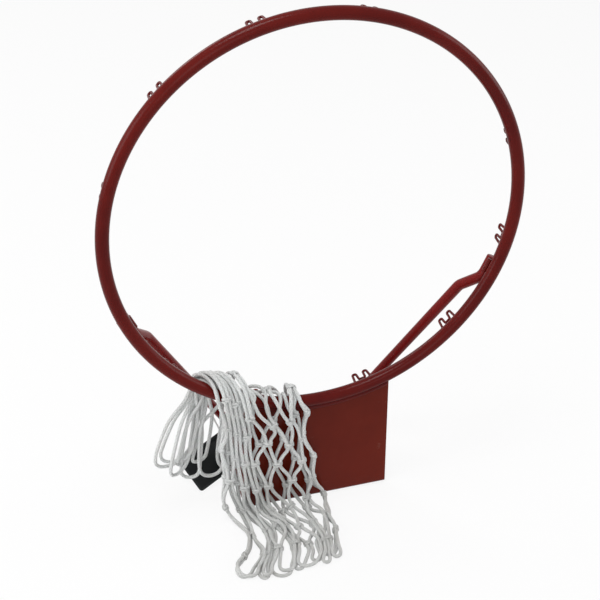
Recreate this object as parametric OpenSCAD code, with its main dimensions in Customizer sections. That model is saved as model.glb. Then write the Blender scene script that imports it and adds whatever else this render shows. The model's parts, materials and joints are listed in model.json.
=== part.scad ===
// Basketball ring with folded fixing bracket, stays, net hooks, a folded net and a hang tag.
// It stands on its fixing face. Origin: centre of the fixing holes on that face. +Z is up.

/* [Ring] */
// Inner diameter of the hoop
ring_inner_d = 450; // [400:1:480]
// Diameter of the hoop's round bar
bar_d = 15; // [12:0.5:20]
// Gap from the hoop's inner edge to the fixing face
face_gap = 150; // [130:1:180]

/* [Bracket] */
// Width of the folded plate
plate_w = 175; // [150:1:200]
// Thickness of the folded plate
plate_t = 4; // [3:0.5:6]
// Inside radius of the fold
fold_r = 2; // [1:0.5:6]
// Depth of the fixing flange, from the neck's front face
flange_depth = 137; // [132:1:165]
// Diameter of a fixing hole
hole_d = 10.5; // [6:0.5:14]
// Fixing hole spacing across the width
hole_pitch_x = 110; // [90:1:120]
// Fixing hole spacing along the depth
hole_pitch_y = 70; // [50:1:80]
// Distance from the hoop's plane to the first row of holes
hole_first_y = 22; // [18:1:30]

/* [Stays] */
// Diameter of a stay rod
stay_d = 13; // [8:0.5:14]
// Inside-line radius of a stay's bends
stay_bend_r = 20; // [12:1:24]
// Half the distance between the stay feet
foot_x = 55; // [45:1:60]
// Distance from the hoop's plane to the stay feet
foot_y = 120; // [110:1:122]
// Angle below the hoop's middle at which a stay is cranked
crank_angle = 35.5; // [33:0.5:40]
// Distance of the crank behind the hoop's plane
crank_y = 37; // [32:1:45]
// Angle below the hoop's middle at which a stay meets the bar
seat_angle = 28.5; // [26:0.5:31]
// Angle below the hoop's middle at which a stay's end is cut
tip_angle = 22; // [18:0.5:24]

/* [Net hooks] */
// Number of hooks round the hoop
hook_count = 12; // [8:1:12]
// Diameter of the hook wire
hook_wire_d = 3; // [2:0.5:4]
// Half the distance between a hook's feet
hook_half_span = 10.5; // [9:0.5:13]
// Distance from a hook's middle to the middle of a prong
hook_prong_x = 6.5; // [5.5:0.5:8]
// Half the length of the link between the prongs
hook_link_x = 3.8; // [3:0.1:5]
// Height of a hook's link above the bar's centre line
hook_link_h = 13; // [11:0.5:16]
// Height of a hook's prongs above the bar's centre line, to the top of the wire
hook_prong_h = 26; // [20:0.5:32]
// Distance between the two legs of a prong
hook_prong_w = 4.2; // [3.5:0.1:6]

/* [Net] */
// Columns of mesh round the net
net_columns = 12; // [12:1:12]
// Thickness of the net cord
net_cord = 3.4; // [2.5:0.1:3.8]
// Length of the top loops
net_loop_len = 140; // [110:1:145]
// Rows of knots below the top loops
net_rows = 10; // [8:1:10]
// Distance from one row of knots to the next
net_row_pitch = 30; // [26:1:32]

/* [Tag] */
// Length of the tag
tag_len = 65; // [50:1:70]
// Width of the tag
tag_w = 46; // [35:1:50]
// Thickness of the tag
tag_t = 1.6; // [1:0.1:3]
// Diameter of the eyelet hole
eyelet_d = 4; // [3.5:0.5:5]
// Diameter of the tie cord
tie_d = 2; // [1.5:0.1:2]
// Height at which the tie goes round the stay
tie_height = 79; // [70:1:100]

/* [Hidden] */
$fa = 5;
$fs = 0.8;

HOOKS = [for (i = [1:hook_count]) str("net_hook_", i < 10 ? "0" : "", i)];
FIXED = ["rim_ring", "bracket", "stay_left", "stay_right", "weld_neck_front", "weld_neck_back",
    "weld_stay_top_left", "weld_stay_top_right", "weld_stay_foot_left", "weld_stay_foot_right"];
LOOSE = ["net_top_loops", "net_crest", "net_front_fall", "net_floor_tail", "hang_tag", "tag_tie"];

// Paint, cord and card colours
paint = [0.48, 0.13, 0.1];
cord_white = [0.9, 0.9, 0.88];
tag_black = [0.06, 0.06, 0.06];

bar_r = bar_d / 2;
stay_r = stay_d / 2;
mid_r = ring_inner_d / 2 + bar_r;
ring_z = face_gap + ring_inner_d / 2;
pattern_y = hole_first_y + hole_pitch_y / 2;
neck_front = -plate_t / 2;
fold_y = neck_front + fold_r + plate_t;
// Small overlap that lets a cutting shape run past the face that it cuts
past = 1;
// Facets round a stay and round a hook's wire, and the most that each turns from one station to the next
stay_sides = 24;
stay_step = 12;
wire_sides = 10;
wire_step = 30;

// Vector helpers
function unit(v) = v / norm(v);
function turn_at(a, b, c) = acos(unit(b - a) * unit(c - b));
function set_back(a, b, c, r) = r * tan(turn_at(a, b, c) / 2);
function square_to(v) = unit(abs(v.z) < 0.9 * norm(v) ? cross([0, 0, 1], v) : cross([1, 0, 0], v));
function blend(a, b, s) = s == 1 ? b : a + (b - a) * s;
function ease(s) = let (c = max(0, min(1, s))) c * c * (3 - 2 * c);
// Point on the hoop: angle from +X, radius from the hoop's centre, distance behind its plane
function hoop_point(angle, radius, y) = [radius * cos(angle), y, ring_z + radius * sin(angle)];

// Everything is drawn about the hoop's plane and then set on the fixing holes' centre
module placed() {
    translate([0, -pattern_y, 0]) children();
}

// Carries local +X and +Z to the given directions, with the local origin at a point
module framed(origin, x_dir, z_dir) {
    y_dir = cross(z_dir, x_dir);
    multmatrix([
        [x_dir.x, y_dir.x, z_dir.x, origin.x],
        [x_dir.y, y_dir.y, z_dir.y, origin.y],
        [x_dir.z, y_dir.z, z_dir.z, origin.z],
        [0, 0, 0, 1]
    ]) children();
}

module rod_straight(a, b, d) {
    run = unit(b - a);
    framed(a, square_to(run), run) cylinder(d = d, h = norm(b - a));
}

// Turns a vector about a unit axis
function spun(v, axis, angle) =
    v * cos(angle) + cross(axis, v) * sin(angle) + axis * (axis * v) * (1 - cos(angle));

// Stations [point, direction] round the bend at b, on the way from a to c
function bend_stations(a, b, c, r, step) =
    let (run = unit(b - a), hinge = unit(cross(run, unit(c - b))), angle = turn_at(a, b, c),
         start = b - run * set_back(a, b, c, r), centre = start + cross(hinge, run) * r,
         steps = ceil(angle / step))
    [for (j = [0:steps]) let (part = angle * j / steps)
        [centre + spun(start - centre, hinge, part), spun(run, hinge, part)]];
function rod_stations(path, r, step) =
    let (last = len(path) - 1)
    concat([[path[0], unit(path[1] - path[0])]],
        [for (i = [1:last - 1]) each bend_stations(path[i - 1], path[i], path[i + 1], r, step)],
        [[path[last], unit(path[last] - path[last - 1])]]);
// Sideways directions carried along the stations without twist
function carried(stations, side, i = 0) =
    let (d = stations[i][1], level = unit(side - d * (side * d)))
    i == len(stations) - 1 ? [level] : concat([level], carried(stations, level, i + 1));

// Slides a point along a direction to the plane on which normal * p is height
function slid(p, direction, normal, height) = p + direction * (height - normal * p) / (normal * direction);

// Round rod along a path of points, bent at the inner points. Its first end, or both, is cut to the plane
// given as [normal, height].
module bent_rod(path, d, r, sides, step, cut, cut_both = false) {
    stations = rod_stations(path, r, step);
    last = len(stations) - 1;
    level = carried(stations, square_to(stations[0][1]));
    rings = [for (j = [0:last], i = [0:sides - 1])
        let (s = stations[j], phi = 360 * i / sides,
             p = s[0] + (level[j] * cos(phi) + cross(s[1], level[j]) * sin(phi)) * d / 2)
        j == 0 || (cut_both && j == last) ? slid(p, s[1], cut[0], cut[1]) : p];
    walls = [for (j = [0:last - 1], i = [0:sides - 1])
        let (n = (i + 1) % sides, a = j * sides + i, b = j * sides + n, c = b + sides, e = a + sides)
        each [[a, e, c], [a, c, b]]];
    caps = [[for (i = [0:sides - 1]) i], [for (i = [sides - 1:-1:0]) len(rings) - sides + i]];
    polyhedron(points = rings, faces = concat(walls, caps));
}

module hoop_bar() {
    translate([0, 0, ring_z]) rotate([90, 0, 0])
        rotate_extrude($fa = 3) translate([mid_r, 0]) circle(d = bar_d);
}

// Ring
module rim_ring() {
    color(paint) placed() hoop_bar();
}

// Bracket: neck, fold and fixing flange of one plate, seated on the bar
module folded_plate() {
    neck_top = ring_z - mid_r + mid_r * (1 - cos(asin(plate_w / 2 / mid_r)));
    translate([-plate_w / 2, neck_front, fold_r + plate_t])
        cube([plate_w, plate_t, neck_top - fold_r - plate_t]);
    translate([-plate_w / 2, fold_y, 0])
        cube([plate_w, flange_depth - fold_r - plate_t, plate_t]);
    translate([-plate_w / 2, fold_y, fold_r + plate_t]) rotate([90, 0, 90]) rotate([0, 0, 180])
        rotate_extrude(angle = 90) translate([fold_r, 0]) square([plate_t, plate_w]);
}

module bracket() {
    color(paint) placed() difference() {
        folded_plate();
        translate([0, plate_t, ring_z]) rotate([90, 0, 0]) cylinder(r = mid_r, h = 2 * plate_t, $fa = 3);
        hoop_bar();
        for (x = [-1, 1], row = [0, 1])
            translate([x * hole_pitch_x / 2, hole_first_y + row * hole_pitch_y, -past])
                cylinder(d = hole_d, h = plate_t + 2 * past);
    }
}

// Stays: foot, crank, seat against the bar and cut end; side is -1 for left, 1 for right
function mirrored(p, side) = [side * p.x, p.y, p.z];
stay_foot = [foot_x, foot_y, plate_t];
stay_crank = hoop_point(-crank_angle, mid_r - 3, crank_y);
stay_seat = hoop_point(-seat_angle, mid_r, bar_r + stay_r);
stay_tip = hoop_point(-tip_angle, mid_r, bar_r + stay_r);
stay_run = unit(stay_crank - stay_foot);

module stay(side) {
    points = [for (p = [stay_foot, stay_crank, stay_seat, stay_tip]) mirrored(p, side)];
    color(paint) placed() bent_rod(points, stay_d, stay_bend_r, stay_sides, stay_step, [[0, 0, 1], plate_t]);
}

// Round bar on a stay's line at its foot or along the hoop, for cutting the welds
module stay_foot_line(side) {
    start = mirrored(stay_foot, side);
    run = mirrored(stay_run, side);
    rod_straight(start - run * stay_d, start + run * 2 * stay_d, stay_d);
}

module stay_top_line(side) {
    start = mirrored(blend(stay_seat, stay_tip, -0.5), side);
    rod_straight(start, mirrored(blend(stay_seat, stay_tip, 1.5), side), stay_d);
}

// Welds
weld_r = 2.8;
foot_weld_r = stay_r + 3;
neck_half_angle = asin(plate_w / 2 / (mid_r + bar_r));

// Bead in the corner between the neck's face and the bar; face is -1 for front, 1 for back
module neck_weld(face) {
    color(paint) placed() difference() {
        translate([0, 0, ring_z]) rotate([90, 0, 0]) rotate([0, 0, -90 - neck_half_angle])
            rotate_extrude(angle = 2 * neck_half_angle, $fa = 3)
                translate([mid_r + bar_r, -face * (plate_t / 2 + weld_r / 2)]) circle(r = weld_r);
        hoop_bar();
        translate([-plate_w, neck_front, 0]) cube([2 * plate_w, plate_t, ring_z]);
    }
}

// Two beads in the grooves between a stay's end and the bar
module stay_top_weld(side) {
    a = mirrored(stay_seat, side);
    b = mirrored(stay_tip, side);
    middle = (a + b) / 2 - [0, stay_r, 0];
    outward = unit([middle.x, 0, middle.z - ring_z]);
    color(paint) placed() difference() {
        for (groove = [-1, 1]) {
            shift = outward * groove * stay_r - [0, stay_r, 0];
            rod_straight(blend(a, b, 0.35) + shift, blend(a, b, 0.95) + shift, 2 * weld_r);
        }
        hoop_bar();
        stay_top_line(side);
    }
}

// Bead round a stay's foot
module stay_foot_weld(side) {
    color(paint) placed() difference() {
        translate(mirrored(stay_foot, side)) sphere(r = foot_weld_r);
        stay_foot_line(side);
        translate([-plate_w, 0, plate_t - 3 * stay_d]) cube([2 * plate_w, 2 * flange_depth, 3 * stay_d]);
    }
}

// Net hooks: one bent wire each, two prongs joined by a link, feet on the bar's underside
// Round prong tops: the bends take up nearly all of a prong's width
hook_bend_r = 0.475 * hook_prong_w;
function hook_angle(index) = (index - 0.5) * 360 / hook_count;

module net_hook(index) {
    angle = hook_angle(index);
    base = hoop_point(angle, mid_r, 0);
    tangent = [-sin(angle), 0, cos(angle)];
    top = hook_prong_h - hook_wire_d / 2;
    half = [[hook_half_span, bar_r], [hook_prong_x + hook_prong_w / 2, top],
        [hook_prong_x - hook_prong_w / 2, top], [hook_link_x, hook_link_h]];
    outline = concat([for (p = half) [-p.x, p.y]], [for (i = [3:-1:0]) half[i]]);
    color(paint) placed()
        bent_rod([for (p = outline) base + tangent * p.x + [0, p.y, 0]],
            hook_wire_d, hook_bend_r, wire_sides, wire_step, [[0, 1, 0], bar_r], true);
}

// Net: a knotted tube pressed flat, folded over the bar, with its tail on the floor.
// A place on it is a column k, counted round the tube, and a distance v from the loops' tips.
layer_gap = 0.9;
layer_h = net_cord / 2 + layer_gap;
bar_clear = 0.9;
fold_rho = bar_r + bar_clear + net_cord / 2 + layer_h;
quarter = fold_rho * PI / 2;
floor_h = net_cord / 2 + layer_h + 0.1;
flange_h = plate_t + floor_h;
floor_bend_r = 14;
floor_quarter = floor_bend_r * PI / 2;
half_columns = net_columns / 2;
// Columns that the rounded edge of the flat tube takes on each side
edge_columns = 0.3;
// The columns either side of this one hang on either side of the hook nearest to this angle
split_column = 4;
split_angle = 255;
split_hook = round(split_angle * hook_count / 360 + 0.5);
split_x = mid_r * cos(hook_angle(split_hook));
left_hook_x = mid_r * cos(hook_angle(split_hook - 1));
// Corner offsets of a knot, along the net and across it in columns
knot_v = 3.5;
knot_k = 0.125;

// Edges of the two bunches of top loops, at the bar: clear of the hooks beside them
bunch_left = [left_hook_x + 18, split_x - 19];
bunch_right = [split_x + 14, split_x + 37];
// How far the left bunch's loops fan out at their tips
bunch_fan = 40;
// Left and right edges of the fold, by distance past the crest of the bar
fall_left = [[0, bunch_left[0] + 8], [40, split_x - 57], [160, split_x - 57], [210, split_x - 44],
    [260, split_x - 60], [300, split_x - 65]];
fall_right = [[0, split_x + 36], [60, split_x + 50], [170, split_x + 64], [240, split_x + 60],
    [300, split_x + 44]];

function folded_column(k) = let (m = k - net_columns * floor(k / net_columns))
    m <= half_columns ? m : net_columns - m;
function outer_layer(k) = k - net_columns * floor(k / net_columns) <= half_columns ? 1 : -1;
// Angle round the flat tube's edge: 0 at the very edge, 90 on the flat
function edge_angle(m) = 90 * min(1, min(m, half_columns - m) / edge_columns);
function edge_side(m) = m < half_columns / 2 ? -1 : 1;
function across(m) = max(0, min(1, (m - edge_columns) / (half_columns - 2 * edge_columns)));

function crest_x(m) = blend(fall_left[0][1], fall_right[0][1], across(m));
function fall_x(m, s) = blend(lookup(s, fall_left), lookup(s, fall_right), across(m));
function bunch_x(m) = m < split_column
    ? blend(bunch_left[0], bunch_left[1], m / split_column)
    : blend(bunch_right[0], bunch_right[1], (m - split_column) / (half_columns - split_column));
function fan_x(m, drop) = m < split_column
    ? -bunch_fan * (1 - m / split_column) * pow(max(0, drop - quarter) / (net_loop_len - quarter), 2) : 0;
function loop_x(m, drop) = blend(crest_x(m), bunch_x(m), ease(drop / quarter)) + fan_x(m, drop);

function net_x(m, s) = s < 0 ? loop_x(m, -s) : fall_x(m, s);

// Drop of the bar's centre line below the hoop's centre, and how much its slope makes a level cut taller
function bar_drop(x) = sqrt(mid_r * mid_r - x * x);
function bar_stretch(x) = mid_r / bar_drop(x);

// Middle line of the fold as [y, z, normal y, normal z], s past the crest of the bar
function fold_line(m, s) =
    let (x = net_x(m, max(-quarter, min(quarter, s))), h = ring_z - bar_drop(x),
         fall = h - floor_h - floor_bend_r, d = s - quarter - fall,
         back_d = -s - quarter - (h - flange_h - floor_bend_r))
    back_d > floor_quarter ? [fold_rho + floor_bend_r + back_d - floor_quarter, flange_h, 0, 1]
    : back_d > 0 ? let (b = back_d / floor_bend_r * 180 / PI)
        [fold_rho + floor_bend_r * (1 - cos(b)), flange_h + floor_bend_r * (1 - sin(b)), cos(b), sin(b)]
    : s < -quarter ? [fold_rho, h + s + quarter, 1, 0]
    : s <= quarter ? let (a = s / fold_rho * 180 / PI)
        [-fold_rho * sin(a), h + fold_rho * cos(a) * bar_stretch(x), -sin(a), cos(a) * bar_stretch(x)]
    : d < 0 ? [-fold_rho, h - (s - quarter), -1, 0]
    : d < floor_quarter ? let (b = d / floor_bend_r * 180 / PI)
        [-fold_rho - floor_bend_r * (1 - cos(b)), floor_h + floor_bend_r * (1 - sin(b)), -cos(b), sin(b)]
    : [-fold_rho - floor_bend_r - (d - floor_quarter), floor_h, 0, 1];

// Point of the net at column k and distance v, set off by lift across the cord's thickness
function net_point(k, v, lift) =
    let (m = folded_column(k), s = v - net_loop_len, side = edge_side(m), a = edge_angle(m),
         line = fold_line(m, s), rise = outer_layer(k) * sin(a) * (layer_h + lift),
         x = net_x(m, s) + side * cos(a) * (layer_h + lift))
    [x, line[0] + line[2] * rise, line[1] + line[3] * rise];

// Rows: row 0 is the loops' tips, row 1 the knots on the bar, the last row the bottom loops
last_row = net_rows + 1;
function row_v(r) = r == 0 ? 0 : net_loop_len + (r - 1) * net_row_pitch;
function row_k(r, i) = i + (r % 2 == 0 ? 0.5 : 0);
// Steps along a strand that starts at row r: more on the loops and in the rows that bend onto the floor
function even_steps(n) = [for (i = [0:n]) i / n];
function strand_steps(r) = r == 0 ? even_steps(8) : r < 5 || r > 7 ? even_steps(2) : even_steps(3);

// Corners of a knot as [k, v]: 0 above, 1 right, 2 below, 3 left
function corner(r, i, c) = [row_k(r, i) + [0, knot_k, 0, -knot_k][c], row_v(r) + [-knot_v, 0, knot_v, 0][c]];
// The knot below on the left (way 0) or right (way 1)
function below(r, i, way) = r % 2 == 0 ? i + way : i - 1 + way;
// A loop's legs leave its tip quickly, and then close in on their knots slowly and steadily
steady = 0.3;
function leg_spread(r, q) = r > 0 || q == 1 ? q : blend(1 - pow(1 - q, 3), q, steady);
// One side of a strand at step q: edge 0 is its left side, 1 its right
function strand_place(r, i, way, edge, q) =
    let (from = corner(r, i, way == 0 ? 3 - edge : 2 - edge),
         to = corner(r + 1, below(r, i, way), way == 0 ? edge : 3 * (1 - edge)))
    [blend(from.x, to.x, leg_spread(r, q)), blend(from.y, to.y, q)];
// Outer (face 1) or inner (face -1) point of a place on the net
function skin(place, face) = net_point(place.x, place.y, face * net_cord / 2);

// Four-sided faces of a strand between two steps, and of its cut ends
function strand_faces(r, i, way, q0, q1) =
    let (p = [for (q = [q0, q1], edge = [0, 1]) strand_place(r, i, way, edge, q)],
         o = [for (place = p) skin(place, 1)], n = [for (place = p) skin(place, -1)])
    [[o[0], o[1], o[3], o[2]], [n[2], n[3], n[1], n[0]],
     [o[0], o[2], n[2], n[0]], [o[3], o[1], n[1], n[3]]];
function cut_face(r, i, way, q, first) =
    let (p = [for (edge = [0, 1]) strand_place(r, i, way, edge, q)],
         o = [for (place = p) skin(place, 1)], n = [for (place = p) skin(place, -1)])
    first ? [o[0], n[0], n[1], o[1]] : [o[0], o[1], n[1], n[0]];
// Faces of a knot, with a wall on each edge that no strand meets
function knot_faces(r, i) =
    let (o = [for (c = [0:3]) skin(corner(r, i, c), 1)], n = [for (c = [0:3]) skin(corner(r, i, c), -1)],
         bare = r == 0 ? [0, 3] : r == last_row ? [1, 2] : [])
    concat([o, [n[3], n[2], n[1], n[0]]],
        [for (c = bare) let (d = (c + 1) % 4) [o[d], o[c], n[c], n[d]]]);

// The part of the net between two cuts; a cut is [row above it, share of the strands below that row]
module net_piece(first_cut, last_cut) {
    rows = [for (r = [first_cut[0]:last_cut[0]]) r];
    columns = [0:net_columns - 1];
    function start(r) = r == first_cut[0] ? max(0, first_cut[1]) : 0;
    function stop(r) = r == last_cut[0] ? last_cut[1] : 1;
    function steps(r) =
        concat([start(r)], [for (q = strand_steps(r)) if (q > start(r) && q < stop(r)) q], [stop(r)]);
    strands = [for (r = rows) if (r < last_row) let (q = steps(r))
        for (i = columns, way = [0, 1], j = [0:len(q) - 2])
            each strand_faces(r, i, way, q[j], q[j + 1])];
    cuts = [for (i = columns, way = [0, 1]) each concat(
        first_cut[1] > 0 ? [cut_face(first_cut[0], i, way, first_cut[1], true)] : [],
        last_cut[0] < last_row ? [cut_face(last_cut[0], i, way, last_cut[1], false)] : [])];
    knots = [for (r = rows) if (r > first_cut[0] || first_cut[1] <= 0)
        for (i = columns) each knot_faces(r, i)];
    faces = concat(strands, cuts, knots);
    color(cord_white) placed() polyhedron(
        points = [for (f = faces) each f],
        faces = [for (i = [0:len(faces) - 1], t = [[0, 1, 2], [0, 2, 3]]) [for (c = t) 4 * i + c]]);
}

// Where the net is parted: behind the bar, below the bar's front, and above the floor
back_cut = [0, 0.8];
front_cut = [1, 0.8];
floor_cut = [6, 0.5];

// Over the bar each bunch is one plain saddle, between the strands' cut ends
saddle_gap = 0.3;
saddle_columns = 6;
saddle_steps = 14;
saddle_half_t = layer_h + net_cord / 2;
// Distance past the crest at which a cut ends on a strand's left (edge 0) or right (edge 1) side
function cut_end(cut, edge) =
    blend(row_v(cut[0]) + edge * knot_v, row_v(cut[0] + 1) - (1 - edge) * knot_v, cut[1]) - net_loop_len;

module net_saddle(first_column, last_column) {
    from = cut_end(back_cut, 1) + saddle_gap;
    to = cut_end(front_cut, 0) - saddle_gap;
    row = saddle_columns + 1;
    skin_count = row * (saddle_steps + 1);
    points = [for (face = [1, -1], j = [0:saddle_steps], i = [0:saddle_columns])
        let (m = blend(first_column, last_column, i / saddle_columns), s = blend(from, to, j / saddle_steps),
             line = fold_line(m, s), rise = face * saddle_half_t)
        [net_x(m, s), line[0] + line[2] * rise, line[1] + line[3] * rise]];
    outside = [for (j = [0:saddle_steps - 1], i = [0:saddle_columns - 1]) let (a = j * row + i)
        each [[a, a + 1, a + row + 1], [a, a + row + 1, a + row]]];
    inside = [for (f = outside) [f[2] + skin_count, f[1] + skin_count, f[0] + skin_count]];
    rim = concat([for (i = [0:saddle_columns]) i], [for (j = [1:saddle_steps]) j * row + saddle_columns],
        [for (i = [saddle_columns - 1:-1:0]) saddle_steps * row + i],
        [for (j = [saddle_steps - 1:-1:1]) j * row]);
    edges = [for (i = [0:len(rim) - 1]) let (a = rim[i], b = rim[(i + 1) % len(rim)])
        each [[b, a, a + skin_count], [b, a + skin_count, b + skin_count]]];
    polyhedron(points = points, faces = concat(outside, inside, edges));
}

// The saddles stop short of the column between the bunches
saddle_slit = 0.1;

module net_crest() {
    color(cord_white) placed() {
        net_saddle(0, split_column - saddle_slit);
        net_saddle(split_column + saddle_slit, half_columns);
    }
}

// Tag and tie, hung on the left stay
tie_clear = 0.4;
// The cord is drawn a little thinner between its loops
tie_drawn = 0.85;
// The tag leans with its low corner just over the floor, and its eyelet stands off the tie's place on the stay
tag_turn = -11;
tag_lean = 45;
tag_roll = 33;
tag_corner_r = 4;
tag_floor_gap = 0.3;
eyelet_inset = 6;
eyelet_ring_r = 4.5;
eyelet_off = [1, -8];
tie_share = (tie_height - stay_foot.z) / (stay_crank.z - stay_foot.z);
tie_point = mirrored(blend(stay_foot, stay_crank, tie_share), -1);
tie_axis = mirrored(stay_run, -1);

// Direction in the tag's own plane, turned into the model
function tag_dir(v) = spun(spun(spun(v, [0, 0, 1], tag_roll), [1, 0, 0], tag_lean), [0, 0, 1], tag_turn);

// Lowest point of the tag below its eyelet: its far rounded corner
tag_far = [eyelet_inset - tag_len + tag_corner_r, eyelet_inset - tag_w + tag_corner_r, -tag_t / 2];
tag_drop = tag_corner_r * sin(tag_lean) - tag_dir(tag_far).z;
eyelet = [tie_point.x + eyelet_off.x, tie_point.y + eyelet_off.y, tag_floor_gap + tag_drop];

module tag_frame() {
    translate(eyelet) rotate([0, 0, tag_turn]) rotate([tag_lean, 0, 0]) rotate([0, 0, tag_roll]) children();
}

module hang_tag() {
    color(tag_black) placed() tag_frame() translate([0, 0, -tag_t / 2]) difference() {
        linear_extrude(tag_t) translate([eyelet_inset - tag_len, eyelet_inset - tag_w]) union() {
            translate([tag_corner_r, 0]) square([tag_len - 2 * tag_corner_r, tag_w]);
            translate([0, tag_corner_r]) square([tag_len, tag_w - 2 * tag_corner_r]);
            for (x = [tag_corner_r, tag_len - tag_corner_r], y = [tag_corner_r, tag_w - tag_corner_r])
                translate([x, y]) circle(r = tag_corner_r);
        }
        translate([0, 0, -past]) cylinder(d = eyelet_d, h = tag_t + 2 * past);
    }
}

module tag_tie() {
    loop_r = stay_r + tie_clear + tie_d / 2;
    ring_top = eyelet + tag_dir(unit([1, 1, 0])) * 2 * eyelet_ring_r;
    drop = unit(ring_top - tie_point);
    hang = unit(drop - tie_axis * (drop * tie_axis));
    color(cord_white) placed() {
        framed(tie_point, square_to(tie_axis), tie_axis)
            rotate_extrude() translate([loop_r, 0]) circle(d = tie_d);
        rod_straight(tie_point + hang * loop_r, ring_top, tie_d * tie_drawn);
        tag_frame() rotate([0, 0, 45]) translate([eyelet_ring_r, 0, 0]) rotate([90, 0, 0])
            rotate_extrude() translate([eyelet_ring_r, 0]) circle(d = tie_d);
    }
}

rim_ring();
bracket();
stay(-1);  // stay_left
stay(1);  // stay_right
neck_weld(-1);  // weld_neck_front
neck_weld(1);  // weld_neck_back
stay_top_weld(-1);  // weld_stay_top_left
stay_top_weld(1);  // weld_stay_top_right
stay_foot_weld(-1);  // weld_stay_foot_left
stay_foot_weld(1);  // weld_stay_foot_right
for (i = [1:hook_count]) net_hook(i);
net_piece([0, -1], back_cut);  // net_top_loops
net_crest();
net_piece(front_cut, floor_cut);  // net_front_fall
net_piece(floor_cut, [last_row, 1]);  // net_floor_tail
hang_tag();
tag_tie();
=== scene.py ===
import json
import math

import bpy
import numpy as np
from mathutils import Matrix, Vector


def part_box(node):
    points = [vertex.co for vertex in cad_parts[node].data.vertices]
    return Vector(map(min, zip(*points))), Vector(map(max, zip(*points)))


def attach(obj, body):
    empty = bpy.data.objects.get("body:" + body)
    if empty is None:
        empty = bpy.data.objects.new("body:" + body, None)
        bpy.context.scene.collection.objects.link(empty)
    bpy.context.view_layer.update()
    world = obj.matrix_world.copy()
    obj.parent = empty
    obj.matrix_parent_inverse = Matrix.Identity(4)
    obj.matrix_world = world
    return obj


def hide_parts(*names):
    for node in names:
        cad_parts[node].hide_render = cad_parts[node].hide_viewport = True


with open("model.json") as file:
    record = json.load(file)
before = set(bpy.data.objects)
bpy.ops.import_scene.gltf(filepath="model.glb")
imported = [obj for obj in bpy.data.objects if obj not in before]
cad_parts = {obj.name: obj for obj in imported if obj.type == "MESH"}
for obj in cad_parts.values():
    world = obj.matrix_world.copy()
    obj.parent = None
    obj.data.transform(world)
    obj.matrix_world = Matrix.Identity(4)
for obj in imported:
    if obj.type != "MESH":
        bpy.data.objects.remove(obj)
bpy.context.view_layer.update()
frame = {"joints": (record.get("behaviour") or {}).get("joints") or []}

# Geometry is worked out in millimetres in the part's frame, and made into meshes in metres
MM = 0.001


# Camera, at the photograph's viewing angle
CAMERA_AIM = Vector((-0.0202, -0.057, 0.2806))
CAMERA_AZIMUTH = math.radians(-17.15)
CAMERA_ELEVATION = math.radians(31.83)
CAMERA_DISTANCE = 1.5415
CAMERA_LENS = 84


def make_camera():
    back = Vector((
        math.sin(CAMERA_AZIMUTH) * math.cos(CAMERA_ELEVATION),
        -math.cos(CAMERA_AZIMUTH) * math.cos(CAMERA_ELEVATION),
        math.sin(CAMERA_ELEVATION),
    ))
    lens = bpy.data.cameras.new("camera")
    lens.lens = CAMERA_LENS
    camera = bpy.data.objects.new("camera", lens)
    camera.location = CAMERA_AIM + back * CAMERA_DISTANCE
    camera.rotation_euler = (-back).to_track_quat("-Z", "Y").to_euler()
    bpy.context.scene.collection.objects.link(camera)
    bpy.context.scene.camera = camera


make_camera()


# Sizes taken from the frame
def box_mm(node):
    low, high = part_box(node)
    return np.array(low) / MM, np.array(high) / MM


ring_low, ring_high = box_mm("rim_ring")
BAR_R = (ring_high[1] - ring_low[1]) / 2
HOOP_Y = (ring_high[1] + ring_low[1]) / 2
RING_Z = (ring_high[2] + ring_low[2]) / 2
MID_R = (ring_high[0] - ring_low[0]) / 2 - BAR_R
bracket_low, bracket_high = box_mm("bracket")
PLATE_HALF_W = bracket_high[0]
PLATE_T = 2 * (HOOP_Y - bracket_low[1])
FLANGE_BACK = bracket_high[1]
hook_low, hook_high = box_mm("net_hook_09")
SPLIT_X = (hook_low[0] + hook_high[0]) / 2
HOOK_TIP = hook_high[1] - HOOP_Y


def hoop_point(angle, radius, y):
    """Point at an angle from +X round the hoop's centre, y behind the hoop's plane."""
    return np.array([radius * math.cos(angle), HOOP_Y + y, RING_Z + radius * math.sin(angle)])


# Node trees, with maths as Python expressions
class Value:
    """A node's output. Operators on one that is a number add Math nodes."""

    def __init__(self, nodes, socket):
        self.nodes = nodes
        self.socket = socket

    def maths(self, operation, first, second=0.0):
        return self.nodes.value("ShaderNodeMath", {"operation": operation}, {0: first, 1: second})

    def __add__(self, other):
        return self.maths("ADD", self, other)

    __radd__ = __add__

    def __sub__(self, other):
        return self.maths("SUBTRACT", self, other)

    def __rsub__(self, other):
        return self.maths("SUBTRACT", other, self)

    def __mul__(self, other):
        return self.maths("MULTIPLY", self, other)

    __rmul__ = __mul__

    def __truediv__(self, other):
        return self.maths("DIVIDE", self, other)

    def __rtruediv__(self, other):
        return self.maths("DIVIDE", other, self)

    def sine(self):
        return self.maths("SINE", self)

    def cosine(self):
        return self.maths("COSINE", self)

    def size(self):
        return self.maths("ABSOLUTE", self)

    def at_least(self, other):
        return self.maths("MAXIMUM", self, other)


class Nodes:
    """A node tree, and one way to add any node to it."""

    def __init__(self, tree):
        self.tree = tree
        tree.nodes.clear()

    def node(self, kind, settings=None, sockets=None):
        made = self.tree.nodes.new(kind)
        for name, setting in (settings or {}).items():
            setattr(made, name, setting)
        for name, given in (sockets or {}).items():
            if isinstance(given, Value):
                self.tree.links.new(given.socket, made.inputs[name])
            else:
                made.inputs[name].default_value = given
        return made

    def values(self, kind, settings=None, sockets=None):
        return [Value(self, socket) for socket in self.node(kind, settings, sockets).outputs]

    def value(self, kind, settings=None, sockets=None, output=0):
        return Value(self, self.node(kind, settings, sockets).outputs[output])


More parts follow.
